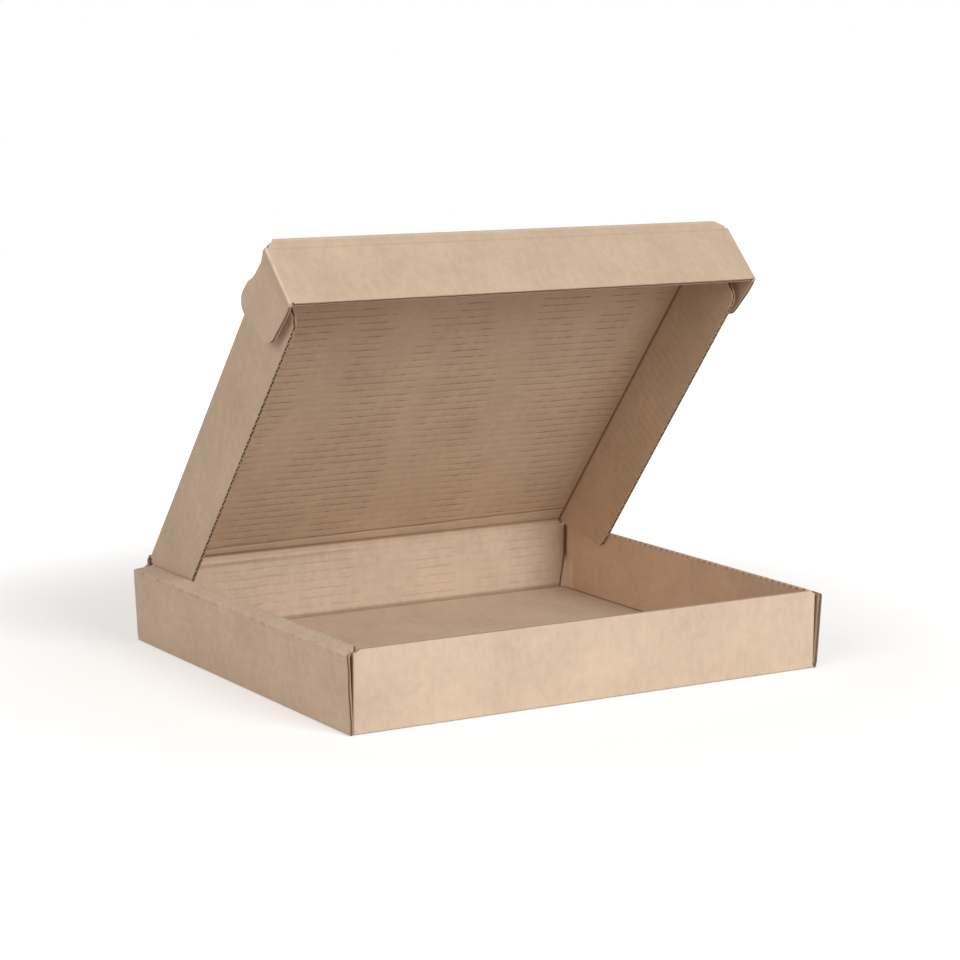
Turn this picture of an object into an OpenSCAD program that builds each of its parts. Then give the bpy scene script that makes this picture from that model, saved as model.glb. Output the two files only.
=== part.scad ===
// Shallow shipping box: a roll-end mailer die-cut from one sheet of
// brown kraft corrugated board, standing open with its lid tipped up.
// Millimetres. X is the width, Y runs from the front wall (-) to the
// rear wall (+), Z is up. The origin is the middle of the tray's underside.
// The flutes of the board run along X.

/* [Board] */
// Thickness of the corrugated board
board_t = 2.7; // [1.6:0.1:3.4]
// Distance from one flute of the board to the next
flute_pitch = 6.4; // [4:0.1:8]
// Thickness of each liner of the board, seen at a cut edge
liner_t = 0.45; // [0.3:0.05:0.6]
// How deep the open flutes are cut in at an edge
flute_depth = 1.6; // [0.5:0.1:3]
// Play between two layers of board that lie side by side
layer_gap = 0.15; // [0.1:0.05:0.5]
// Play round a crease that a flap or the lid turns on
fold_gap = 0.25; // [0.2:0.05:0.6]

/* [Tray] */
// Width of the front wall, outside
tray_w = 354; // [200:1:600]
// Depth of the tray, front wall to rear wall, outside
tray_d = 296; // [200:1:450]
// Height of the front wall's cut top edge
wall_h = 53; // [45:0.5:90]
// Height of the fold where a side wall rolls over, outer edge
outer_fold_h = 50.5; // [40:0.5:88]
// Height of the fold where a side wall rolls over, inner edge
inner_fold_h = 53.6; // [42:0.1:92]
// How far a side wall leans out by its top fold
side_lean = 2.8; // [0:0.1:6]
// How far the rolled-over layer stops short of the front wall's face
roll_front_cut = 7; // [5:0.5:20]
// How far the rolled-over layer stops short of the rear wall's face
roll_rear_cut = 9; // [5:0.5:30]
// How much further the inner layer's rear end is cut back at the floor
inner_taper = 11; // [0:0.5:20]
// Length of the dust flaps that are trapped inside the side walls
dust_flap_l = 105; // [50:1:140]
// Height of the dust flaps under the rolled-over layer
dust_flap_h = 48.6; // [35:0.2:86]
// Width of each tab that locks an inner layer to the floor
tab_w = 32; // [15:1:60]
// Distance from the middle of the tray to each tab
tab_y = 72; // [40:1:110]
// Play of a tab in its slot
tab_gap = 0.2; // [0.15:0.05:1]

/* [Lid] */
// Angle of the lid above its shut position
lid_open = 52.3; // [30:0.1:90]
// Gap between the shut lid and the side walls' top folds
lid_rest_gap = 0.35; // [0.2:0.05:1]
// Gap between the lid's side flaps and the tray's inner layers
lid_side_gap = 0.35; // [0.3:0.05:1.5]
// Gap between the front flap and the front wall that it covers
front_gap = 0.3; // [0.2:0.05:2]
// Height of the front flap, from the lid's outer face
front_flap_h = 52.6; // [30:0.2:88]
// Fold of the front flap, from flat
front_flap_fold = 97; // [80:1:100]
// Depth of the side flaps, from the lid's outer face
side_flap_h = 53.4; // [30:0.2:88]
// How far the side flaps' front ends slant back
side_flap_front_slant = 17; // [5:1:60]
// How far the side flaps' rear ends slant
side_flap_rear_slant = 19; // [5:1:60]
// How deep the side flaps' rear ends are before they slant
side_flap_heel = 6; // [2:0.5:15]
// Rounding of the side flaps' free corners
side_flap_r = 9; // [2:0.5:15]

/* [Locking ears] */
// How far the ears stand out beyond the front wall's ends
ear_step = 2.8; // [1:0.1:6]
// Length of an ear, from its crease
ear_l = 49.5; // [25:0.5:80]
// Where an ear's crease starts, from the front flap's crease
ear_start = 5.6; // [3:0.1:12]
// How far an ear's upper edge dips behind its crease
ear_dip = 3.4; // [1:0.2:8]
// How far the rear edge of an ear leans forward at its foot
ear_slant = 7; // [0:0.5:12]
// Rounding of an ear's lower rear corner
ear_r = 12; // [5:1:18]
// How far an ear's lower edge bulges beyond the front flap's free edge
ear_bulge = 1.5; // [0:0.1:4]
// Rounding of an ear's upper rear corner
ear_top_r = 10; // [4:0.5:12]

/* [Hidden] */
$fn = 48;
kraft = [0.78, 0.67, 0.56];
kraft_inner = [0.70, 0.58, 0.47];
half_t = board_t / 2;
// The round of a fold lies a hair inside the faces of the board it joins.
fold_r = half_t - 0.02;
crease_r = half_t + fold_gap;
// Middle planes of the tray's layers, counted from the middle of the box.
front_y = tray_d / 2 - half_t;
dust_x = tray_w / 2 - half_t;
inner_x = dust_x - board_t - layer_gap;
outer_x = tray_w / 2 + layer_gap + half_t;
outer_top_x = outer_x + side_lean;
outer_top_z = outer_fold_h - half_t;
inner_top_z = inner_fold_h - half_t;
outer_rise = outer_top_z - half_t;
outer_l = norm([side_lean, outer_rise]);
roll_run = outer_top_x - inner_x;
roll_rise = inner_top_z - outer_top_z;
roll_l = norm([roll_run, roll_rise]);
inner_bottom_z = board_t + layer_gap;
// Crease that the lid turns on.
hinge_y = front_y;
hinge_z = inner_fold_h + lid_rest_gap + half_t;
rear_wall_h = hinge_z - crease_r;
// The lid, in its own frame: x across, y from the hinge to the front edge,
// z towards the tray, with the middle of the board at z = 0.
lid_l = hinge_y + tray_d / 2 + front_gap + half_t;
side_flap_x = inner_x - half_t - lid_side_gap - half_t;
side_flap_d = side_flap_h - half_t;
side_flap_front = lid_l - crease_r - 1.2;
side_flap_rear = crease_r;
front_flap_d = front_flap_h - half_t;
ear_x = tray_w / 2 + ear_step - half_t;
ear_d = front_flap_d - ear_start;

// A flat panel of board whose outline lies in the XY plane.
module sheet() {
    linear_extrude(height = board_t, center = true) children();
}

// A rounded fold of the board, along X and centred.
module fold_x(l) {
    rotate([0, 90, 0]) cylinder(h = l, r = fold_r, center = true);
}

// A rounded fold of the board, along Y and centred.
module fold_y(l) {
    rotate([90, 0, 0]) cylinder(h = l, r = fold_r, center = true);
}

// The same shape on the left and on the right.
module both_sides() {
    children();
    mirror([1, 0, 0]) children();
}

// The open flutes of a cut edge that runs along Y at x = 0, with the board
// at x < 0. Each wave of the medium leaves one hollow under each liner.
module open_flutes(l) {
    deep = board_t / 2 - liner_t;
    count = floor(l / flute_pitch);
    start = (l - count * flute_pitch) / 2;
    for (i = [0 : 2 * count - 1]) {
        side = i % 2 == 0 ? 1 : -1;
        translate([-flute_depth, start + (i + 0.5) * flute_pitch / 2, 0])
            rotate([90, 0, 90])
                linear_extrude(height = flute_depth + 1)
                    polygon([
                        [-flute_pitch * 0.36, side * deep],
                        [flute_pitch * 0.36, side * deep],
                        [flute_pitch * 0.1, -side * deep * 0.65],
                        [-flute_pitch * 0.1, -side * deep * 0.65]
                    ]);
    }
}

// Floor, with the slots that the locking tabs drop into.
module floor_panel() {
    difference() {
        translate([0, 0, half_t]) sheet() square([2 * outer_x, 2 * front_y], center = true);
        both_sides() for (side = [-1, 1]) {
            translate([inner_x, side * tab_y, half_t])
                cube([board_t + 2 * tab_gap, tab_w + 2 * tab_gap, board_t + 1], center = true);
        }
    }
    both_sides() translate([outer_x, 0, half_t]) fold_y(tray_d - 1);
    for (side = [-1, 1]) {
        translate([0, side * front_y, half_t]) fold_x(tray_w - 0.6);
    }
}

// Front or rear wall, standing on its fold, with the corner folds at its ends.
module end_wall(y, h, corner_h) {
    slope = h - corner_h + 1;
    translate([0, y, 0]) {
        rotate([90, 0, 0]) sheet() polygon([
            [-dust_x, half_t], [dust_x, half_t], [dust_x, corner_h],
            [dust_x - slope, h], [-dust_x + slope, h], [-dust_x, corner_h]
        ]);
        both_sides() translate([dust_x, 0, inner_bottom_z])
            cylinder(h = corner_h - inner_bottom_z, r = fold_r);
    }
}

// Dust flap on the right, folded back from an end wall into the side wall.
// It runs towards the middle of the box from y = side * front_y.
module dust_flap(side, corner_h) {
    translate([dust_x, side * front_y, 0]) rotate([90, 0, -90 * side]) sheet()
        polygon([
            [0, inner_bottom_z], [dust_flap_l - 12, inner_bottom_z],
            [dust_flap_l, inner_bottom_z + 12], [dust_flap_l, dust_flap_h - 8],
            [dust_flap_l - 8, dust_flap_h], [half_t + 1, dust_flap_h],
            [half_t, corner_h], [0, corner_h]
        ]);
}

// Side wall on the right: the outer layer up, over and down to the floor.
module rolled_side() {
    roll_front = -tray_d / 2 + roll_front_cut;
    roll_rear = tray_d / 2 - roll_rear_cut;
    // outer layer, from the floor's fold to the outer top fold
    translate([outer_x, 0, half_t])
        rotate([0, atan2(side_lean, outer_rise) - 90, 0]) sheet() polygon([
            [0, -tray_d / 2 + 0.6], [3, -tray_d / 2], [outer_l, -tray_d / 2],
            [outer_l, tray_d / 2], [3, tray_d / 2], [0, tray_d / 2 - 0.6]
        ]);
    translate([outer_top_x, 0, outer_top_z]) fold_y(tray_d - 0.6);
    // the layer that lies over the top, with slanted ends
    translate([outer_top_x, 0, outer_top_z])
        rotate([0, 180 + atan2(roll_rise, roll_run), 0]) sheet() polygon([
            [0, -tray_d / 2 + 0.3], [roll_l, roll_front],
            [roll_l, roll_rear], [0, tray_d / 2 - 0.3]
        ]);
    translate([inner_x, (roll_front + roll_rear) / 2, inner_top_z])
        fold_y(roll_rear - roll_front);
    // inner layer, down to the floor
    translate([inner_x, 0, 0]) rotate([90, 0, 90]) sheet() polygon([
        [roll_front, inner_top_z], [roll_front + 2, inner_bottom_z],
        [roll_rear - inner_taper, inner_bottom_z],
        [roll_rear - inner_taper * 0.55, inner_bottom_z + 9],
        [roll_rear - inner_taper * 0.3, inner_bottom_z + 20], [roll_rear, inner_top_z]
    ]);
    for (side = [-1, 1]) {
        translate([inner_x, side * tab_y, 0]) rotate([90, 0, 90]) sheet() polygon([
            [-tab_w / 2, inner_bottom_z + 1], [-tab_w / 2 + 1, tab_gap],
            [tab_w / 2 - 1, tab_gap], [tab_w / 2, inner_bottom_z + 1]
        ]);
    }
}

// Bottom tray: floor, four walls and four dust flaps, all one folded sheet.
module tray() {
    front_corner_h = wall_h - 2;
    rear_corner_h = rear_wall_h - 3.4;
    color(kraft) {
        floor_panel();
        end_wall(-front_y, wall_h, front_corner_h);
        end_wall(front_y, rear_wall_h, rear_corner_h);
        both_sides() {
            rolled_side();
            dust_flap(-1, front_corner_h);
            dust_flap(1, rear_corner_h);
        }
    }
}

// Puts the lid's own frame on the tray's rear crease, at the open angle.
module in_lid() {
    translate([0, hinge_y, hinge_z]) rotate([180 - lid_open, 0, 0]) children();
}

// Puts the front flap's frame on the lid's front crease: x across, y from
// the crease to the free edge, z towards the hinge.
module in_front_flap() {
    in_lid() translate([0, lid_l, 0]) rotate([front_flap_fold, 0, 0]) children();
}

// Main panel of the lid, rounded along the crease that it turns on.
module lid_panel() {
    half_w = side_flap_x - crease_r;
    color(kraft_inner) in_lid() {
        sheet() polygon([
            [-half_w, 0], [half_w, 0], [half_w, lid_l - crease_r],
            [-half_w, lid_l - crease_r]
        ]);
        fold_x(2 * half_w);
    }
}

// Side flap of the lid on the right, folded square to the lid, with the
// board's flutes open along its free edge.
module side_flap() {
    front = side_flap_front;
    rear = side_flap_rear;
    d = side_flap_d;
    r = side_flap_r;
    open_rear = rear + side_flap_rear_slant + r;
    open_front = front - side_flap_front_slant - r;
    in_lid() translate([side_flap_x, 0, 0]) rotate([0, -90, 0]) {
        difference() {
            sheet() union() {
                polygon([
                    [0, rear], [side_flap_heel, rear + 0.5],
                    [d - r, rear + side_flap_rear_slant],
                    [d - r, front - side_flap_front_slant], [0, front]
                ]);
                translate([d - r, open_rear]) circle(r);
                translate([d - r, open_front]) circle(r);
                translate([d - r - 1, open_rear]) square([r + 1, open_front - open_rear]);
            }
            translate([d, open_rear, 0]) open_flutes(open_front - open_rear);
        }
        translate([0, (front + rear) / 2, 0]) fold_y(front - rear);
    }
}

module lid_side_flap_right() {
    color(kraft_inner) side_flap();
}

module lid_side_flap_left() {
    color(kraft_inner) mirror([1, 0, 0]) side_flap();
}

// Front flap of the lid. It widens below its crease to carry the ears.
module front_tuck_flap() {
    top_w = side_flap_x + half_t;
    half_w = ear_x - crease_r;
    shoulder = ear_start * (half_w - top_w) / (ear_x + half_t - top_w);
    color(kraft) in_front_flap() {
        sheet() polygon([
            [-top_w, 0], [top_w, 0], [half_w, shoulder], [half_w, front_flap_d - 1],
            [half_w - 1, front_flap_d], [-half_w + 1, front_flap_d],
            [-half_w, front_flap_d - 1], [-half_w, shoulder]
        ]);
        fold_x(2 * top_w);
    }
}

// Locking ear on the right, folded back along the side of the lid. Its
// upper edge dips and rises again, and its rear corners are rounded.
module locking_ear() {
    dip = ear_start + ear_dip;
    foot = ear_l - ear_slant - ear_r;
    low = front_flap_d + ear_bulge;
    in_front_flap() translate([ear_x, 0, 0]) rotate([0, -90, 0]) {
        sheet() {
            polygon([
                [0, ear_start], [ear_l * 0.18, dip], [ear_l * 0.4, dip],
                [ear_l * 0.5, dip - 0.8], [ear_l * 0.6, ear_start + 0.6],
                [ear_l * 0.68, ear_start], [ear_l - ear_top_r, ear_start],
                [ear_l, ear_start + ear_top_r], [foot + ear_r, low - ear_r],
                [foot, low], [ear_l * 0.25, low], [ear_l * 0.12, low - ear_bulge * 0.3],
                [0, front_flap_d]
            ]);
            translate([ear_l - ear_top_r, ear_start + ear_top_r]) circle(ear_top_r);
            translate([foot, low - ear_r]) circle(ear_r);
        }
        translate([0, ear_start + ear_d / 2, 0]) fold_y(ear_d);
    }
}

module locking_ear_right() {
    color(kraft) locking_ear();
}

module locking_ear_left() {
    color(kraft) mirror([1, 0, 0]) locking_ear();
}

tray();
lid_panel();
lid_side_flap_left();
lid_side_flap_right();
front_tuck_flap();
locking_ear_left();
locking_ear_right();
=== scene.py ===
"""Dresses the shallow shipping box: kraft board on the CAD panels, the skin of
the paper over the creases that the lid and flaps turn on, and the studio.

Metres, in the frame of the part: X across the box, Y from the front wall to
the rear wall, Z up. The sizes at the top repeat those of the part's source.
"""
from math import cos, pi, radians, sin

import bpy
from mathutils import Matrix, Vector


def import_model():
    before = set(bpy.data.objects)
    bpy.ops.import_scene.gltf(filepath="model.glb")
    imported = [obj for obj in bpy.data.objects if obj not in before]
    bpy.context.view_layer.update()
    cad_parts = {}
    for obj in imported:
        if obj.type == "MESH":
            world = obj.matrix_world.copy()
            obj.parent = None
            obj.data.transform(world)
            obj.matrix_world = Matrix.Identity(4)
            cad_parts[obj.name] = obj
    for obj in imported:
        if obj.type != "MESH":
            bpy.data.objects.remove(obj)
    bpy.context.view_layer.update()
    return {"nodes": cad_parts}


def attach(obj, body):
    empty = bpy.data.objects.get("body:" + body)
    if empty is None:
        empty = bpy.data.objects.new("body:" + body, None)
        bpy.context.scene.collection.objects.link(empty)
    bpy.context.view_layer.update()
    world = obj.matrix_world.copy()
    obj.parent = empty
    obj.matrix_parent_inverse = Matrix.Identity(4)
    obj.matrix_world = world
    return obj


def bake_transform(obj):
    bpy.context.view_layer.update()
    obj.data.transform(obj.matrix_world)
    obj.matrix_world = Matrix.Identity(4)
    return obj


# ---------------------------------------------------------------- sizes
BOARD = 0.0027             # thickness of the corrugated board
HALF = BOARD / 2
LINER = 0.00045            # thickness of each liner
PITCH = 0.0064             # from one flute to the next
TRAY_D = 0.296             # front wall to rear wall, outside
WALL_IN = TRAY_D / 2 - BOARD     # inner faces of the front and rear walls
END_X = 0.1770             # ends of the front and rear walls
LAYER_X = 0.1728           # middle planes of the side walls' inner layers
LAYER_IN = LAYER_X - HALF  # their faces towards the contents
SIDE_FOOT = 0.1785         # middle planes of the outer layers, at the floor
SIDE_LEAN = 0.0028         # how far those lean out
SIDE_RISE = 0.0478         # over this height
CREASE = HALF + 0.00025    # where the board beside a crease begins
HINGE = Vector((0.0, 0.14665, 0.0553))
LID_OPEN = radians(52.3)
LID_L = 0.2963
FLAP_FOLD = radians(97.0)
HINGE_LOW = 0.00046        # the valley in the lid's crease, below its axis
HINGE_END = 0.1722         # where the lid's crease ends on each side
SIDE_X = 0.16975           # middle planes of the lid's side flaps
SIDE_D = 0.05205           # their free edges, from the lid's middle plane
EAR_X = 0.17845            # middle planes of the locking ears
EAR_START = 0.0056         # where an ear's crease starts on the front flap
FLAP_D = 0.05125           # free edge of the front flap, from its crease
SKIN = 0.00005             # how far the skin of a crease stands off the board
CORNER_BULGE = 0.0037      # how far the rear dust flaps bulge into the tray, at the floor
CORNER_RISE = 0.0300       # height at which that bulge has gone

# Directions of the lid and of its front flap, as they are in the picture.
LID_A = Vector((0.0, -cos(LID_OPEN), sin(LID_OPEN)))      # hinge to front edge
LID_B = Vector((0.0, -sin(LID_OPEN), -cos(LID_OPEN)))     # into the box
FLAP_S = cos(FLAP_FOLD) * LID_A + sin(FLAP_FOLD) * LID_B  # crease to free edge
FLAP_N = -sin(FLAP_FOLD) * LID_A + cos(FLAP_FOLD) * LID_B  # towards the hinge
FRONT_CREASE = HINGE + LID_L * LID_A

# Colours of the board, linear.
TRAY_OUTER = (0.705, 0.552, 0.422, 1.0)
TRAY_INNER = (0.695, 0.560, 0.442, 1.0)
# painted shade: a darker copy of the outer liner, where it rolls into the tray
ROLLED_IN_SHADED = (0.655, 0.487, 0.358, 1.0)
LID_OUTER = (0.665, 0.515, 0.385, 1.0)
# painted shade: a darker copy of the inner liner, for the inner faces of the lid, its flaps and
# ears
LID_INNER_SHADED = (0.572, 0.425, 0.308, 1.0)
# painted shade: a darker copy of the outer liner, for the front flap and the ears' folds
FLAP_OUTER_SHADED = (0.612, 0.474, 0.350, 1.0)
# the flute lines, and the painted shade at creases, folds and gaps
LINE_AND_SHADE_BROWN = (0.230, 0.135, 0.080, 1.0)
# painted highlight on the crests of creases and folds
CREST_HIGHLIGHT = (0.800, 0.660, 0.530, 1.0)
EDGE_BROWN = (0.430, 0.310, 0.212, 1.0)
# painted shade inside the open flutes of cut edges
HOLLOW_SHADE = (0.050, 0.026, 0.014, 1.0)

# Camera, fitted to the picture: lengths in pixels of a picture this wide.
PICTURE = 960
FOCAL = 2771.86
MIDDLE = (442.5, 461.4)
CAMERA_PLACE = Vector((-0.98337, -1.55735, 0.43471))
CAMERA_YAW, CAMERA_PITCH, CAMERA_ROLL = radians(31.616), radians(-9.322), radians(0.503)

# Light. Lamps are discs that point at a spot inside the box.
WORLD_STRENGTH = 0.29
LAMP_SIZE = 1.8
LAMP_AIM = Vector((0.0, 0.0, 0.1))
KEY_PLACE, KEY_POWER, KEY_COLOUR = (0.65, -2.78, 1.50), 57.0, (1.0, 0.985, 0.965)
FILL_PLACE, FILL_POWER, FILL_COLOUR = (-2.52, -1.17, 1.36), 27.0, (1.0, 0.90, 0.80)
FLOOR_SIZE = 3.0
FLOOR_GREY = 0.80


# ---------------------------------------------------------------- node tools
class Shader:
    """A material's node tree, with one short call for each kind of node.

    The skin of a crease has its material look up where each point was at
    rest. A panel moves as a whole and needs no such record.
    """

    def __init__(self, name, bends=False):
        self.material = bpy.data.materials.new(name)
        self.material.use_nodes = True
        self.tree = self.material.node_tree
        self.tree.nodes.clear()
        if bends:
            self.place, self.normal = (self.record("rest_place"), self.record("rest_normal"))
        else:
            coords = self.tree.nodes.new("ShaderNodeTexCoord")
            self.place = coords.outputs["Object"]
            self.normal = coords.outputs["Normal"]

    def record(self, name):
        node = self.tree.nodes.new("ShaderNodeAttribute")
        node.attribute_type = "GEOMETRY"
        node.attribute_name = name
        return node.outputs["Vector"]

    def put(self, socket, value):
        """Links a socket to another, or sets it to a number or a colour."""
        if isinstance(value, bpy.types.NodeSocket):
            self.tree.links.new(value, socket)
        else:
            socket.default_value = value

    def math(self, operation, a, b=0.0, c=0.0):
        node = self.tree.nodes.new("ShaderNodeMath")
        node.operation = operation
        for socket, value in zip(node.inputs, (a, b, c)):
            self.put(socket, value)
        return node.outputs[0]

    def times(self, *values):
        result = values[0]
        for value in values[1:]:
            result = self.math("MULTIPLY", result, value)
        return result

    def largest(self, *values):
        result = values[0]
        for value in values[1:]:
            result = self.math("MAXIMUM", result, value)
        return result

    def opposite(self, value):
        return self.math("SUBTRACT", 1.0, value)

    def sway(self, noise, amount):
        """Turns a noise of 0 to 1 into a drift to both sides of 0."""
        return self.times(self.math("SUBTRACT", noise, 0.5), amount)

    def off_middle(self):
        """Distance from the box's middle plane."""
        return self.math("ABSOLUTE", self.along(self.place, X))

    def outward(self):
        """1 on a face that looks away from the middle plane, -1 towards it."""
        side = self.math("SIGN", self.along(self.place, X))
        return self.times(self.along(self.normal, X), side)

    def along(self, vector, direction, start=0.0):
        """How far a point or a normal lies along a direction."""
        node = self.tree.nodes.new("ShaderNodeVectorMath")
        node.operation = "DOT_PRODUCT"
        self.put(node.inputs[0], vector)
        node.inputs[1].default_value = direction
        return self.math("SUBTRACT", node.outputs["Value"], start)

    def vector(self, x, y, z):
        node = self.tree.nodes.new("ShaderNodeCombineXYZ")
        for socket, value in zip(node.inputs, (x, y, z)):
            self.put(socket, value)
        return node.outputs[0]

    def step(self, value, low, high):
        """0 below low, 1 above high, smooth between. Falls if low > high."""
        node = self.tree.nodes.new("ShaderNodeMapRange")
        node.interpolation_type = "SMOOTHSTEP"
        falls = low > high
        self.put(node.inputs["Value"], value)
        node.inputs["From Min"].default_value = min(low, high)
        node.inputs["From Max"].default_value = max(low, high)
        node.inputs["To Min"].default_value = 1.0 if falls else 0.0
        node.inputs["To Max"].default_value = 0.0 if falls else 1.0
        return node.outputs["Result"]

    def near(self, value, centre, width, soft):
        """1 within width of centre, fading to 0 over soft."""
        off = self.math("ABSOLUTE", self.math("SUBTRACT", value, centre))
        return self.step(off, width + soft, width)

    def noise(self, vector, scale, detail=2.0, rough=0.5):
        node = self.tree.nodes.new("ShaderNodeTexNoise")
        self.put(node.inputs["Vector"], vector)
        node.inputs["Scale"].default_value = scale
        node.inputs["Detail"].default_value = detail
        node.inputs["Roughness"].default_value = rough
        return node.outputs["Fac"]

    def blend(self, factor, a, b):
        node = self.tree.nodes.new("ShaderNodeMix")
        node.data_type = "RGBA"
        self.put(node.inputs["Factor"], factor)
        self.put(node.inputs[6], a)
        self.put(node.inputs[7], b)
        return node.outputs[2]

    def shade(self, factor, colour):
        """Multiplies a colour by a grey factor."""
        node = self.tree.nodes.new("ShaderNodeMix")
        node.data_type = "RGBA"
        node.blend_type = "MULTIPLY"
        node.inputs["Factor"].default_value = 1.0
        self.put(node.inputs[6], colour)
        self.put(node.inputs[7], factor)
        return node.outputs[2]


# ---------------------------------------------------------------- board
def paper(shader, across, along_web):
    """Grain of the liners: clouds, streaks along the web, fine fibres.

    across runs along the flutes and along_web across them. Returns a grey
    factor near 1 and a height.
    """
    flat = shader.vector(across, along_web, 0.0)
    clouds = shader.noise(shader.place, 22.0, 3.0, 0.55)
    mottle = shader.noise(shader.place, 150.0, 3.0, 0.65)
    streaks = shader.noise(shader.vector(shader.times(across, 260.0),
                                         shader.times(along_web, 38.0), 0.0), 1.0, 3.0, 0.6)
    flecks = shader.noise(flat, 900.0, 2.0, 0.6)
    factor = 1.0
    for layer, amount in ((clouds, 0.30), (mottle, 0.26), (streaks, 0.14), (flecks, 0.16)):
        factor = shader.math("ADD", factor, shader.sway(layer, amount))
    height = shader.math("ADD", shader.times(flecks, 0.35), shader.times(streaks, 0.65))
    return factor, height


def washboard(shader, across, along_web, row_place):
    """Dark broken lines, one for each flute, and the waves between them."""
    place = shader.math("ADD", row_place,
                        shader.sway(shader.noise(shader.place, 30.0, 1.0), 0.0018))
    rows = shader.math("DIVIDE", place, PITCH)
    row = shader.math("FLOOR", rows)
    phase = shader.math("SUBTRACT", shader.math("SUBTRACT", rows, row), 0.5)
    # the lines come in bands across the flutes, with bare board between them
    bands = shader.noise(shader.vector(shader.times(across, 27.0),
                                       shader.times(along_web, 6.0), 0.0), 1.0, 1.0)
    band = shader.step(bands, 0.42, 0.53)
    # the dashes of one line, each line with its own
    breaks = shader.noise(shader.vector(shader.times(across, 125.0),
                                        shader.times(row, 5.37), 0.0), 1.0, 3.0, 0.65)
    dashes = shader.step(breaks, 0.42, 0.60)
    long_breaks = shader.noise(shader.vector(shader.times(across, 42.0),
                                             shader.times(row, 3.11), 7.0), 1.0, 2.0)
    fades = shader.times(shader.step(long_breaks, 0.36, 0.60), band)
    soft = shader.times(shader.near(phase, 0.0, 0.03, 0.15),
                        shader.math("MULTIPLY_ADD", fades, 0.46, 0.06))
    sharp = shader.times(shader.near(phase, 0.0, 0.025, 0.06), dashes,
                         shader.math("MULTIPLY_ADD", band, 0.88, 0.12))
    half_line = shader.times(shader.near(shader.math("ABSOLUTE", phase), 0.5, 0.02, 0.10),
                             fades, 0.12)
    wave = shader.math("COSINE", shader.times(phase, 2 * pi))
    wave = shader.math("MULTIPLY_ADD", wave, -0.5, 0.5)
    return shader.largest(soft, sharp, half_line), wave


def flute_mouths(shader, across_board, along_edge):
    """Painted shade in the open flutes beside the medium's wave, at an edge that cuts the
    flutes.

    across_board is 0 in the middle of the board. Returns how strong that painted shade is.
    """
    depth = shader.math("DIVIDE", across_board, HALF - LINER)
    wave = shader.math("SINE", shader.times(along_edge, 2 * pi / PITCH))
    off = shader.math("ABSOLUTE", shader.math("SUBTRACT", depth, shader.times(wave, 0.86)))
    inside = shader.step(shader.math("ABSOLUTE", depth), 1.02, 0.92)
    return shader.times(shader.step(off, 0.14, 0.30), inside)


def edge_lines(shader, across_board, along_edge):
    """Painted shade in the gap between the liners, at an edge that runs along the flutes."""
    wander = shader.noise(shader.vector(shader.times(along_edge, 60.0), 0.0, 0.0), 1.0, 3.0)
    middle = shader.sway(wander, 0.0022)
    return shader.times(shader.near(across_board, middle, 0.00032, 0.0003), 0.80)


def board_material(name, outer, inner_colour, panels, edge=None, marks=None, bends=False):
    """Kraft board for one node of the frame, with the colours of its liners.

    panels(shader) gives the flutes' direction (across), the web's (along_web),
    where the washboard's rows lie (row_place), how dark they are (lines) and
    where the inner liner shows (inner), and may change the outer liner's
    colour (outer), to a darker copy as painted shade. edge(shader) gives where a
    cut edge shows and the painted shade in its hollows. marks(shader) gives the
    painted shade and painted highlights at creases, folds and gaps. bends is
    True for the skin of a crease.
    """
    shader = Shader(name, bends)
    place = panels(shader)
    grain, height = paper(shader, place["across"], place["along_web"])
    lines, wave = washboard(shader, place["across"], place["along_web"], place["row_place"])
    inner = place["inner"]

    colour = shader.blend(inner, place.get("outer", outer), inner_colour)
    colour = shader.shade(grain, colour)
    colour = shader.blend(shader.times(lines, inner, place["lines"]), colour, LINE_AND_SHADE_BROWN)
    wave_height = shader.times(wave, inner, 0.00008)
    outer_wave = shader.times(wave, shader.opposite(inner), 0.000012)
    painted_shade = None
    if marks is not None:
        # painted shade and painted highlights at creases, folds and gaps
        painted_shade, painted_highlight = marks(shader)
        colour = shader.blend(painted_shade, colour, LINE_AND_SHADE_BROWN)
        colour = shader.blend(painted_highlight, colour, CREST_HIGHLIGHT)
    if edge is not None:
        # cut edges, with painted shade in their open flutes and gaps
        shows, dark = edge(shader)
        rim = shader.shade(grain, EDGE_BROWN)
        rim = shader.blend(dark, rim, HOLLOW_SHADE)
        colour = shader.blend(shows, colour, rim)

    bump = shader.tree.nodes.new("ShaderNodeBump")
    bump.inputs["Strength"].default_value = 1.0
    bump.inputs["Distance"].default_value = 1.0
    relief = shader.math("ADD", wave_height, outer_wave)
    relief = shader.math("ADD", relief, shader.times(height, 0.000035))
    if painted_shade is not None:
        relief = shader.math("SUBTRACT", relief, shader.times(painted_shade, 0.00025))
    shader.put(bump.inputs["Height"], relief)

    surface = shader.tree.nodes.new("ShaderNodeBsdfPrincipled")
    shader.put(surface.inputs["Base Color"], colour)
    surface.inputs["Roughness"].default_value = 0.82
    surface.inputs["Specular IOR Level"].default_value = 0.22
    surface.inputs["Sheen Weight"].default_value = 0.06
    surface.inputs["Sheen Roughness"].default_value = 0.5
    shader.put(surface.inputs["Normal"], bump.outputs["Normal"])
    output = shader.tree.nodes.new("ShaderNodeOutputMaterial")
    shader.put(output.inputs["Surface"], surface.outputs["BSDF"])
    return shader.material


# Where the liners, flutes and cut edges lie on each node.
X = (1.0, 0.0, 0.0)
Y = (0.0, 1.0, 0.0)
Z = (0.0, 0.0, 1.0)


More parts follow.
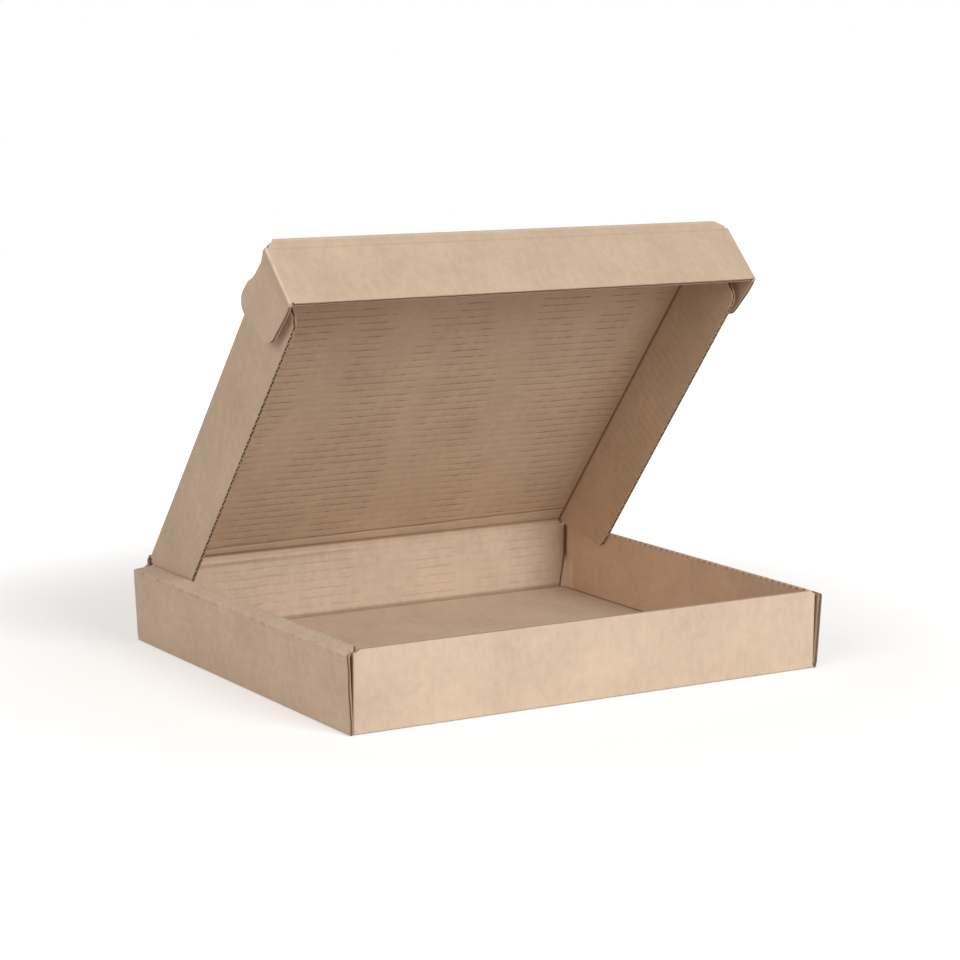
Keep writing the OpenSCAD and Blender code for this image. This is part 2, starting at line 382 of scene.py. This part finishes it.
def tray_panels(shader):
    x, y, z = (shader.along(shader.place, axis) for axis in (X, Y, Z))
    face_x, face_y, face_z = (shader.along(shader.normal, axis) for axis in (X, Y, Z))
    off_x = shader.off_middle()
    is_wall = shader.step(shader.math("ABSOLUTE", face_y), 0.6, 0.8)
    is_side = shader.step(shader.math("ABSOLUTE", face_x), 0.6, 0.8)
    floor = shader.times(shader.step(face_z, 0.8, 0.95), shader.step(z, 0.0032, 0.0029))
    middle = shader.step(off_x, 0.1768, 0.1766)
    front = shader.times(shader.step(face_y, 0.8, 0.95), shader.step(y, -0.1445, -0.1449))
    rear = shader.times(shader.step(face_y, -0.8, -0.95), shader.step(y, 0.1445, 0.1449))
    # where the outer liner rolls into the tray it takes a darker copy of its colour, as painted
    # shade
    rolled_in = shader.times(shader.step(shader.outward(), -0.5, -0.8),
                             shader.step(off_x, 0.1722, 0.1718))
    row_place = shader.math("ADD", shader.times(y, shader.opposite(is_wall)),
                            shader.times(z, is_wall))
    across = shader.math("ADD", shader.times(x, shader.opposite(is_side)),
                         shader.times(z, is_side))
    return {"across": across, "along_web": row_place, "row_place": row_place,
            "inner": shader.times(middle, shader.largest(floor, front, rear)),
            "outer": shader.blend(rolled_in, TRAY_OUTER, ROLLED_IN_SHADED),
            "lines": shader.math("MULTIPLY_ADD", is_wall, 0.13, 0.20)}


def tray_edges(shader):
    x, y, z = (shader.along(shader.place, axis) for axis in (X, Y, Z))
    face_y = shader.math("ABSOLUTE", shader.along(shader.normal, Y))
    off_x = shader.math("ABSOLUTE", x)
    off_y = shader.math("ABSOLUTE", y)
    # top edges of the front and rear walls
    face_z = shader.along(shader.normal, Z)
    top = shader.times(shader.step(face_z, 0.55, 0.75), shader.step(z, 0.047, 0.0475),
                       shader.step(off_x, 0.1771, 0.1769), shader.step(off_y, 0.1449, 0.1451))
    top_dark = edge_lines(shader, shader.math("SUBTRACT", off_y, TRAY_D / 2 - HALF), x)
    # front and rear edges of the outer layers
    side = shader.times(shader.step(face_y, 0.6, 0.8),
                        shader.step(off_x, 0.17706, 0.17712))
    lean = shader.math("MULTIPLY_ADD", shader.math("SUBTRACT", z, HALF),
                       SIDE_LEAN / SIDE_RISE, SIDE_FOOT)
    # the edges on the right half get painted shade
    side_dark = shader.largest(edge_lines(shader, shader.math("SUBTRACT", off_x, lean), z),
                               shader.times(shader.step(x, 0.0, 0.10), 0.50))
    # front and rear edges of the inner layers
    inner = shader.times(shader.step(face_y, 0.6, 0.8), shader.step(off_x, 0.17140, 0.17146),
                         shader.step(off_x, 0.17418, 0.17412),
                         shader.step(off_y, 0.1449, 0.1447))
    inner_dark = edge_lines(shader, shader.math("SUBTRACT", off_x, LAYER_X), z)
    shows = shader.largest(shader.times(top, 0.5), side, inner)
    dark = shader.largest(shader.times(top, top_dark, 0.35), shader.times(side, side_dark),
                          shader.times(inner, inner_dark))
    return shows, dark


def lid_panels(shader):
    inner = shader.step(shader.along(shader.normal, LID_B), 0.75, 0.9)
    a = shader.along(shader.place, LID_A, HINGE.dot(LID_A))
    return {"across": shader.along(shader.place, X), "along_web": a, "row_place": a,
            "inner": inner, "lines": 0.74}


def side_flap_panels(shader):
    a = shader.along(shader.place, LID_A, HINGE.dot(LID_A))
    b = shader.along(shader.place, LID_B, HINGE.dot(LID_B))
    return {"across": b, "along_web": a, "row_place": a,
            "inner": shader.step(shader.outward(), -0.75, -0.9), "lines": 0.30}


def side_flap_edges(shader):
    off_x = shader.math("SUBTRACT", shader.off_middle(), SIDE_X)
    facing = shader.math("ABSOLUTE", shader.along(shader.normal, X))
    b = shader.along(shader.place, LID_B, HINGE.dot(LID_B))
    a = shader.along(shader.place, LID_A, HINGE.dot(LID_A))
    cut = shader.times(shader.step(facing, 0.8, 0.6), shader.step(b, 0.0024, 0.0027))
    depth = shader.math("SUBTRACT", SIDE_D, b)
    # painted shade inside the open flutes of the free edge
    hollow = shader.times(shader.step(shader.math("ABSOLUTE", off_x), 0.00094, 0.00088),
                          shader.step(depth, 0.0001, 0.0011),
                          shader.step(depth, 0.0019, 0.0017))
    straight = shader.times(shader.step(a, 0.0295, 0.0305), shader.step(a, 0.2685, 0.2675))
    ends = shader.times(flute_mouths(shader, off_x, a), shader.opposite(straight), 0.9)
    return shader.largest(cut, shader.times(hollow, straight)), \
        shader.largest(shader.times(hollow, straight), ends)


def front_flap_panels(shader):
    inner = shader.step(shader.along(shader.normal, FLAP_N), 0.75, 0.9)
    s = shader.along(shader.place, FLAP_S, FRONT_CREASE.dot(FLAP_S))
    return {"across": shader.along(shader.place, X), "along_web": s, "row_place": s,
            "inner": inner, "lines": 0.5}


def front_flap_edges(shader):
    facing = shader.math("ABSOLUTE", shader.along(shader.normal, FLAP_N))
    n = shader.along(shader.place, FLAP_N, FRONT_CREASE.dot(FLAP_N))
    s = shader.along(shader.place, FLAP_S, FRONT_CREASE.dot(FLAP_S))
    cut = shader.times(shader.step(facing, 0.8, 0.6), shader.step(s, 0.0014, 0.0018))
    return cut, shader.times(cut, edge_lines(shader, n, shader.along(shader.place, X)))


def ear_panels(shader):
    s = shader.along(shader.place, FLAP_S, FRONT_CREASE.dot(FLAP_S))
    n = shader.along(shader.place, FLAP_N, FRONT_CREASE.dot(FLAP_N))
    # near its fold the ear's outer liner takes the front flap's darker copy, as painted shade
    return {"across": n, "along_web": s, "row_place": s,
            "outer": shader.blend(shader.step(n, -0.0010, 0.0120), FLAP_OUTER_SHADED, TRAY_OUTER),
            "inner": shader.step(shader.outward(), -0.75, -0.9), "lines": 0.5}


def ear_edges(shader):
    off_x = shader.math("SUBTRACT", shader.off_middle(), EAR_X)
    facing = shader.math("ABSOLUTE", shader.along(shader.normal, X))
    s = shader.along(shader.place, FLAP_S, FRONT_CREASE.dot(FLAP_S))
    n = shader.along(shader.place, FLAP_N, FRONT_CREASE.dot(FLAP_N))
    cut = shader.times(shader.step(facing, 0.8, 0.6), shader.step(n, 0.0014, 0.0018))
    rear = shader.step(shader.along(shader.normal, FLAP_N), 0.35, 0.65)
    dark = shader.times(flute_mouths(shader, off_x, s), rear)
    rest = shader.times(edge_lines(shader, off_x, n), shader.opposite(rear))
    return cut, shader.times(cut, shader.largest(dark, rest))


def off_valley(shader, u, u0, v, v0):
    """Distance from a line along a fold, at (u0, v0) in the plane across it."""
    du = shader.math("SUBTRACT", u, u0)
    dv = shader.math("SUBTRACT", v, v0)
    return shader.math("SQRT", shader.math("ADD", shader.times(du, du), shader.times(dv, dv)))


def side_valley(shader):
    """Painted shade along the inside of the folds of the lid's side flaps."""
    b = shader.along(shader.place, LID_B, HINGE.dot(LID_B))
    gap = off_valley(shader, shader.off_middle(), SIDE_X - HALF, b, HALF)
    return shader.times(shader.step(gap, 0.0019, 0.0006), shader.step(b, 0.0, 0.0010), 0.85)


def hinge_fade(shader, x):
    """How strong the painted shade in the lid crease's valley is, fading to the right end."""
    return shader.math("MULTIPLY_ADD", x, -1.2, 0.66)


def hinge_marks(shader):
    """The crease of the lid: painted shade in its valley and just past the bead,
    painted highlight on the bead above the valley.

    The bead is a wedge, wider at the right end.
    """
    x = shader.along(shader.place, X)
    a = shader.along(shader.place, LID_A, HINGE.dot(LID_A))
    b = shader.along(shader.place, LID_B, HINGE.dot(LID_B))
    z = shader.along(shader.place, Z, HINGE.z)
    y = shader.along(shader.place, Y, HINGE.y)
    within = shader.times(shader.step(b, 0.0, 0.0010), shader.step(y, 0.0, -0.0010))
    gap = off_valley(shader, y, -HALF - SKIN, z, -HINGE_LOW)
    valley = shader.times(shader.step(gap, 0.0021, 0.0004), hinge_fade(shader, x))
    sway = shader.sway(shader.noise(shader.place, 45.0, 2.0), 0.0012)
    top = shader.math("ADD", shader.math("MULTIPLY_ADD", x, 0.0165, 0.0088), sway)
    past = shader.math("SUBTRACT", a, top)
    bead_edge = shader.times(shader.near(past, 0.0008, 0.0004, 0.0008), 0.48)
    crest = shader.times(shader.near(past, -0.0009, 0.0003, 0.0009), 0.46)
    bead = shader.times(shader.step(past, 0.0, -0.0012),
                        shader.step(a, 0.0016, 0.0030), 0.26)
    dark = shader.times(within, shader.largest(valley, bead_edge))
    return dark, shader.times(within, shader.largest(bead, crest))


def lid_marks(shader):
    """The lid's crease and side folds, with shade in the crease's ends."""
    dark, light = hinge_marks(shader)
    b = shader.along(shader.place, LID_B, HINGE.dot(LID_B))
    y = shader.along(shader.place, Y, HINGE.y)
    end = shader.times(shader.step(shader.off_middle(), 0.1690, 0.1700),
                       shader.step(b, 0.0, 0.0010), shader.step(y, 0.0, -0.0010), 0.80)
    dark = shader.largest(dark, side_valley(shader), end)
    return dark, shader.times(light, shader.opposite(end))


def ear_marks(shader):
    """Painted highlight along the ridge of an ear's fold, broken up by noise."""
    n = shader.along(shader.place, FLAP_N, FRONT_CREASE.dot(FLAP_N))
    ridge = off_valley(shader, shader.off_middle(), EAR_X + HALF, n, -HALF)
    ridge_breakup = shader.noise(shader.place, 120.0, 2.0)
    return 0.0, shader.times(shader.step(ridge, 0.0019, 0.0007),
                             shader.math("MULTIPLY_ADD", ridge_breakup, 2.2, -0.35))


def side_flap_marks(shader):
    """Only painted shade in the fold marks a side flap."""
    return side_valley(shader), 0.0


def front_flap_marks(shader):
    """A faint score line below the front crease, and painted highlight along the crease."""
    s = shader.along(shader.place, FLAP_S, FRONT_CREASE.dot(FLAP_S))
    n = shader.along(shader.place, FLAP_N, FRONT_CREASE.dot(FLAP_N))
    outer = shader.step(n, 0.0, -0.0005)
    dark = shader.times(outer, shader.near(s, 0.0074, 0.0002, 0.0008), 0.14)
    return dark, shader.times(outer, shader.near(s, 0.0, 0.0006, 0.0012), 0.25)


def corner_fold_x(shader, z):
    """Where the rear wall ends, beside a dust flap that bulges at its foot."""
    foot = shader.step(z, CORNER_RISE, 0.0)
    return shader.math("SUBTRACT", 0.1742, shader.times(foot, CORNER_BULGE))


def tray_marks(shader):
    x, y, z = (shader.along(shader.place, axis) for axis in (X, Y, Z))
    face_x = shader.math("ABSOLUTE", shader.along(shader.normal, X))
    face_y = shader.along(shader.normal, Y)
    off_x = shader.off_middle()
    off_y = shader.math("ABSOLUTE", y)
    rear_face = shader.times(shader.step(face_y, -0.8, -0.95),
                             shader.step(y, 0.1445, 0.1449),
                             shader.step(off_x, 0.1768, 0.1766))
    # the rear wall below the lid's crease: a faint line, and painted shade in the crease's
    # valley and at the wall's ends
    top_line = shader.times(shader.near(z, 0.0470, 0.0004, 0.0016),
                            shader.step(x, 0.06, -0.12), 0.34)
    hinge_gap = off_valley(shader, y, HINGE.y - HALF, z, HINGE.z - HINGE_LOW)
    valley = shader.times(shader.step(hinge_gap, 0.0021, 0.0004), hinge_fade(shader, x))
    past_fold = shader.math("SUBTRACT", off_x, corner_fold_x(shader, z))
    corner = shader.times(shader.step(shader.math("ABSOLUTE", past_fold),
                                      0.0017, 0.0009), 0.92)
    rear = shader.times(rear_face, shader.largest(top_line, valley, corner))
    # painted highlight along the rear wall just below the lid's crease
    crest = shader.times(rear_face, shader.near(z, 0.0522, 0.0008, 0.0014), 0.34)
    # painted shade on the dust flap in the narrow gaps beside the rear and front walls
    rear_gap = shader.times(shader.near(off_x, 0.1743, 0.0003, 0.0002), face_x,
                            shader.step(y, 0.1420, 0.1440),
                            shader.step(z, 0.0190, 0.0290), 0.88)
    front_gap = shader.times(shader.near(off_x, END_X, 0.0003, 0.0002),
                             shader.step(face_x, 0.75, 0.95),
                             shader.step(off_y, 0.1469, 0.1459),
                             shader.step(off_y, 0.10, 0.12), 0.85)
    # painted highlight on the foot of the rear dust flaps' folds
    fold_highlight = shader.times(shader.step(off_x, 0.1704, 0.1710),
                            shader.step(off_x, 0.1750, 0.1747),
                            shader.step(y, 0.1300, 0.1320), shader.step(y, 0.1456, 0.1451),
                            shader.step(z, 0.0270, 0.0200), shader.step(z, 0.0027, 0.0028),
                            shader.step(face_x, 0.1, 0.3), 0.85)
    # painted shade where the walls meet the floor
    inside = shader.times(shader.step(off_x, 0.1740, 0.1735),
                          shader.step(z, -0.001, 0.0010),
                          shader.step(off_y, 0.1457, 0.1454))
    ragged = shader.noise(shader.vector(shader.times(x, 190.0), 0.0, 0.0), 1.0, 3.0, 0.6)
    reach = shader.math("MULTIPLY_ADD", ragged, 0.0026, 0.0018)
    foot_gap = off_valley(shader, off_y, WALL_IN - 0.0003, z, BOARD + 0.0004)
    foot = shader.step(shader.math("DIVIDE", foot_gap, reach), 1.0, 0.25)
    gap = shader.step(off_valley(shader, off_x, LAYER_IN, z, BOARD), 0.0011, 0.0003)
    floor = shader.times(inside, shader.largest(shader.times(foot, 0.46),
                                                shader.times(gap, 0.62)))
    # painted shade at each flute where the board is crushed as a side wall rolls over, painted
    # highlight between
    beat = shader.math("COSINE", shader.times(y, 2 * pi / PITCH))
    rough = shader.noise(shader.vector(shader.times(y, 300.0), 0.0, 0.0), 1.0, 2.0)
    crush = shader.times(shader.step(beat, -0.1, 0.7), shader.step(rough, 0.32, 0.6))
    # painted shade and painted highlight along the side walls' outer fold, broken up by noise
    wander = shader.noise(shader.vector(shader.times(y, 55.0), 0.0, 0.0), 1.0, 3.0)
    outer_place = shader.math("ADD", z, shader.sway(wander, 0.0022))
    outer_fold = shader.times(shader.step(off_x, 0.1802, 0.1808),
                              shader.step(z, 0.0472, 0.0478))
    fold_breakup = shader.noise(shader.vector(shader.times(y, 130.0), shader.times(z, 260.0), 0.0),
                          1.0, 3.0, 0.6)
    outer_dark = shader.times(outer_fold, shader.near(outer_place, 0.0490, 0.0005, 0.0012),
                              shader.step(fold_breakup, 0.48, 0.62), 0.20)
    outer_light = shader.times(outer_fold, shader.near(outer_place, 0.0501, 0.0005, 0.0011),
                               shader.step(fold_breakup, 0.54, 0.40), 0.42)
    # the inner fold takes the painted shade and highlight of the crushed flutes
    inner_fold = shader.times(shader.step(off_x, 0.1747, 0.1741), face_x,
                              shader.near(z, 0.0527, 0.0007, 0.0007))
    crushed = shader.times(inner_fold, crush, 0.62)
    raised = shader.times(inner_fold, shader.opposite(crush), 0.2)
    dark = shader.largest(rear, floor, outer_dark, crushed, rear_gap, front_gap)
    return dark, shader.largest(crest, outer_light, raised, fold_highlight)


# ---------------------------------------------------------------- creases
def strip(name, rows):
    """A sheet through rows of points, each row as long as the others."""
    mesh = bpy.data.meshes.new(name)
    points = [point for row in rows for point in row]
    count = len(rows[0])
    faces = [(i * count + j, i * count + j + 1, (i + 1) * count + j + 1, (i + 1) * count + j)
             for i in range(len(rows) - 1) for j in range(count - 1)]
    mesh.from_pydata(points, [], faces)
    mesh.update()
    for polygon in mesh.polygons:
        polygon.use_smooth = True
    piece = bpy.data.objects.new(name, mesh)
    bpy.context.scene.collection.objects.link(piece)
    return piece


def crease_profile(turn, flat):
    """Outside and inside of a crease in its own plane, as (u, v) points.

    The first board comes up along v from below and its outside faces +u. The
    second leaves the crease turned by turn radians towards -u.
    """
    radius = HALF + SKIN
    outside = [(radius, -flat * k / 4) for k in (4, 3, 2, 1)]
    steps = 10
    outside += [(radius * cos(turn * k / steps), radius * sin(turn * k / steps))
                for k in range(steps + 1)]
    end = Vector((-sin(turn), cos(turn)))
    out = Vector((cos(turn), sin(turn)))
    outside += [tuple(radius * out + end * (flat * k / 4)) for k in (1, 2, 3, 4)]
    # the two inner faces meet in a soft valley
    valley = radius * (1 - cos(turn)) / sin(turn)
    soft = 0.0006
    inside = [(-radius, -flat + (flat - valley - soft) * k / 4) for k in range(5)]
    bend = Vector((-radius, -valley))
    first = Vector((-radius, -valley - soft))
    last = bend + end * soft
    for k in range(1, 6):
        t = k / 6
        inside.append(tuple(first * (1 - t) ** 2 + bend * (2 * t * (1 - t)) + last * t * t))
    for k in range(5):
        inside.append(tuple(last + end * ((flat - valley - soft) * k / 4)))
    return outside, inside


def record_rest(piece, outward):
    """Notes where each point lies at rest, and which way its outer side faces."""
    mesh = piece.data
    place = mesh.attributes.new("rest_place", "FLOAT_VECTOR", "POINT")
    normal = mesh.attributes.new("rest_normal", "FLOAT_VECTOR", "POINT")
    for index, vertex in enumerate(mesh.vertices):
        place.data[index].vector = vertex.co
        side = 1.0 if vertex.normal.dot(outward) > 0 else -1.0
        normal.data[index].vector = vertex.normal * side


def crease_skin(name, centre, u, v, along, turn, span, flat, material):
    """The two liners that run on over a crease, each as one sheet across it."""
    outside, inside = crease_profile(turn, flat)
    ridge = u * cos(turn / 2) + v * sin(turn / 2)
    pieces = []
    columns = 2 + int((span[1] - span[0]) / 0.02)
    for side, profile, outward in (("outside", outside, ridge), ("inside", inside, -ridge)):
        places = [along * (span[0] + (span[1] - span[0]) * c / columns)
                  for c in range(columns + 1)]
        rows = [[centre + u * p[0] + v * p[1] + place for p in profile] for place in places]
        piece = strip(f"{name}_{side}", rows)
        record_rest(piece, outward)
        piece.data.materials.append(material)
        pieces.append(piece)
    for piece in pieces:
        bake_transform(piece)
    return pieces


def corner_fold(name, sign):
    """The foot of a rear dust flap's fold, which bulges into the tray."""
    rows = []
    for k in range(13):
        z = BOARD + 0.00005 + 0.0262 * k / 12
        rise = min(1.0, z / CORNER_RISE)
        bulge = CORNER_BULGE * (1 - rise * rise * (3 - 2 * rise)) + 0.00008
        start = Vector((0.17430 - bulge, WALL_IN - 0.00004))
        end = Vector((0.17426, WALL_IN - 2.8 * bulge))
        bend = Vector((0.17428, WALL_IN - bulge))
        row = []
        for j in range(9):
            t = j / 8
            point = start * (1 - t) ** 2 + bend * (2 * t * (1 - t)) + end * t * t
            row.append((sign * point.x, point.y, z))
        rows.append(row)
    return strip(name, rows)


# ---------------------------------------------------------------- studio
def look_matrix(place, yaw, pitch, roll):
    """A camera's matrix. Yaw turns from +Y towards +X, pitch is up."""
    forward = Vector((sin(yaw) * cos(pitch), cos(yaw) * cos(pitch), sin(pitch)))
    right = Vector((cos(yaw), -sin(yaw), 0.0))
    up = right.cross(forward)
    right_rolled = right * cos(roll) + up * sin(roll)
    up_rolled = up * cos(roll) - right * sin(roll)
    matrix = Matrix((right_rolled, up_rolled, -forward)).transposed().to_4x4()
    matrix.translation = place
    return matrix


def add_camera():
    data = bpy.data.cameras.new("camera")
    data.sensor_width = 36.0
    data.lens = FOCAL / PICTURE * data.sensor_width
    data.shift_x = (PICTURE / 2 - MIDDLE[0]) / PICTURE
    data.shift_y = (MIDDLE[1] - PICTURE / 2) / PICTURE
    data.clip_start = 0.05
    data.clip_end = 30.0
    camera = bpy.data.objects.new("camera", data)
    bpy.context.scene.collection.objects.link(camera)
    camera.matrix_world = look_matrix(CAMERA_PLACE, CAMERA_YAW, CAMERA_PITCH, CAMERA_ROLL)
    bpy.context.scene.camera = camera


def add_lamp(name, place, power, colour):
    data = bpy.data.lights.new(name, "AREA")
    data.shape = "DISK"
    data.size = LAMP_SIZE
    data.energy = power
    data.color = colour
    lamp = bpy.data.objects.new(name, data)
    bpy.context.scene.collection.objects.link(lamp)
    aim = (LAMP_AIM - Vector(place)).to_track_quat("-Z", "Y")
    lamp.matrix_world = Matrix.Translation(place) @ aim.to_matrix().to_4x4()
    lamp.visible_camera = False
    lamp.visible_glossy = False


def add_world(strength):
    """Even light on the object, and plain white where the camera looks."""
    world = bpy.data.worlds.new("studio")
    bpy.context.scene.world = world
    world.use_nodes = True
    tree = world.node_tree
    tree.nodes.clear()
    path = tree.nodes.new("ShaderNodeLightPath")
    seen = tree.nodes.new("ShaderNodeMath")
    seen.operation = "MAXIMUM"
    tree.links.new(path.outputs["Is Camera Ray"], seen.inputs[0])
    tree.links.new(path.outputs["Is Glossy Ray"], seen.inputs[1])
    also = tree.nodes.new("ShaderNodeMath")
    also.operation = "MAXIMUM"
    tree.links.new(seen.outputs[0], also.inputs[0])
    tree.links.new(path.outputs["Is Transmission Ray"], also.inputs[1])
    lit = tree.nodes.new("ShaderNodeBackground")
    lit.inputs["Color"].default_value = (1.0, 0.985, 0.97, 1.0)
    lit.inputs["Strength"].default_value = strength
    shown = tree.nodes.new("ShaderNodeBackground")
    shown.inputs["Color"].default_value = (1.0, 1.0, 1.0, 1.0)
    shown.inputs["Strength"].default_value = 1.0
    mix = tree.nodes.new("ShaderNodeMixShader")
    tree.links.new(also.outputs[0], mix.inputs[0])
    tree.links.new(lit.outputs[0], mix.inputs[1])
    tree.links.new(shown.outputs[0], mix.inputs[2])
    output = tree.nodes.new("ShaderNodeOutputWorld")
    tree.links.new(mix.outputs[0], output.inputs["Surface"])


def add_floor():
    """A pale floor that fades into the white behind it."""
    floor = strip("floor", [[Vector((FLOOR_SIZE * i, FLOOR_SIZE * j, -0.0003)) for j in (-1, 1)]
                            for i in (-1, 1)])
    material = bpy.data.materials.new("floor_white")
    material.use_nodes = True
    tree = material.node_tree
    tree.nodes.clear()
    plain = tree.nodes.new("ShaderNodeBsdfDiffuse")
    plain.inputs["Color"].default_value = (FLOOR_GREY, FLOOR_GREY, FLOOR_GREY, 1.0)
    glow = tree.nodes.new("ShaderNodeEmission")
    path = tree.nodes.new("ShaderNodeLightPath")
    seen = tree.nodes.new("ShaderNodeMath")
    seen.operation = "MULTIPLY"
    tree.links.new(path.outputs["Is Camera Ray"], seen.inputs[0])
    # near the box the floor keeps its shading, further out it turns plain white
    coords = tree.nodes.new("ShaderNodeTexCoord")
    far = tree.nodes.new("ShaderNodeVectorMath")
    far.operation = "LENGTH"
    tree.links.new(coords.outputs["Object"], far.inputs[0])
    rise = tree.nodes.new("ShaderNodeMapRange")
    rise.interpolation_type = "SMOOTHSTEP"
    tree.links.new(far.outputs["Value"], rise.inputs["Value"])
    for socket, value in (("From Min", 0.25), ("From Max", 0.75),
                          ("To Min", 0.45), ("To Max", 1.0)):
        rise.inputs[socket].default_value = value
    tree.links.new(rise.outputs["Result"], seen.inputs[1])
    tree.links.new(seen.outputs[0], glow.inputs["Strength"])
    both = tree.nodes.new("ShaderNodeAddShader")
    tree.links.new(plain.outputs[0], both.inputs[0])
    tree.links.new(glow.outputs[0], both.inputs[1])
    output = tree.nodes.new("ShaderNodeOutputMaterial")
    tree.links.new(both.outputs[0], output.inputs["Surface"])
    floor.data.materials.append(material)


def dress(node, material):
    node.data.materials.clear()
    node.data.materials.append(material)


def main():
    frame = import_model()
    nodes = frame["nodes"]
    add_camera()
    add_world(WORLD_STRENGTH)
    add_lamp("key", KEY_PLACE, KEY_POWER, KEY_COLOUR)
    add_lamp("fill", FILL_PLACE, FILL_POWER, FILL_COLOUR)
    add_floor()

    tray = board_material("tray_board", TRAY_OUTER, TRAY_INNER,
                          tray_panels, tray_edges, tray_marks)
    lid, lid_bend = (board_material(name, LID_OUTER, LID_INNER_SHADED, lid_panels,
                                    None, lid_marks, bends)
                     for name, bends in (("lid_board", False), ("lid_crease", True)))
    side, side_bend = (board_material(name, LID_OUTER, LID_INNER_SHADED, side_flap_panels,
                                      side_flap_edges, side_flap_marks, bends)
                       for name, bends in (("side_flap_board", False), ("side_crease", True)))
    flap, flap_bend = (board_material(name, FLAP_OUTER_SHADED, LID_INNER_SHADED, front_flap_panels,
                                      front_flap_edges, front_flap_marks, bends)
                       for name, bends in (("front_flap_board", False), ("front_crease", True)))
    ear, ear_bend = (board_material(name, TRAY_OUTER, LID_INNER_SHADED, ear_panels,
                                    ear_edges, ear_marks, bends)
                     for name, bends in (("ear_board", False), ("ear_crease", True)))
    dress(nodes["tray"], tray)
    dress(nodes["lid_panel"], lid)
    dress(nodes["lid_side_flap_left"], side)
    dress(nodes["lid_side_flap_right"], side)
    dress(nodes["front_tuck_flap"], flap)
    dress(nodes["locking_ear_left"], ear)
    dress(nodes["locking_ear_right"], ear)

    x_axis = Vector(X)
    # lid hinge: the rear wall comes up from below, the lid leans to the front
    half_w = SIDE_X - CREASE
    for piece in crease_skin("lid_crease", HINGE, Vector(Y), Vector(Z), x_axis,
                             pi / 2 - LID_OPEN, (-HINGE_END, HINGE_END), 0.0045,
                             lid_bend):
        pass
    # front crease: the lid comes up to it, the front flap turns down
    for piece in crease_skin("front_crease", FRONT_CREASE, -LID_B, LID_A, x_axis,
                             FLAP_FOLD, (-half_w, half_w), 0.0036,
                             flap_bend):
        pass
    for sign, side_name in ((-1.0, "left"), (1.0, "right")):
        # side folds: from the lid's edge round to the side flap
        for piece in crease_skin(f"side_crease_{side_name}", HINGE + x_axis * (sign * SIDE_X),
                                 -LID_B, x_axis * sign, LID_A, pi / 2,
                                 (0.0029, LID_L - 0.0030), 0.0034,
                                 side_bend):
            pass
        # ear folds: from the front flap's end round to the ear
        for piece in crease_skin(f"ear_crease_{side_name}",
                                 FRONT_CREASE + x_axis * (sign * EAR_X),
                                 -FLAP_N, x_axis * sign, FLAP_S, pi / 2,
                                 (EAR_START + 0.0004, FLAP_D - 0.0006), 0.0030,
                                 ear_bend):
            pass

        piece = corner_fold(f"dust_flap_fold_{side_name}", sign)
        dress(piece, tray)
        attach(piece, "tray")

    bpy.context.scene.view_settings.view_transform = "Standard"


main()
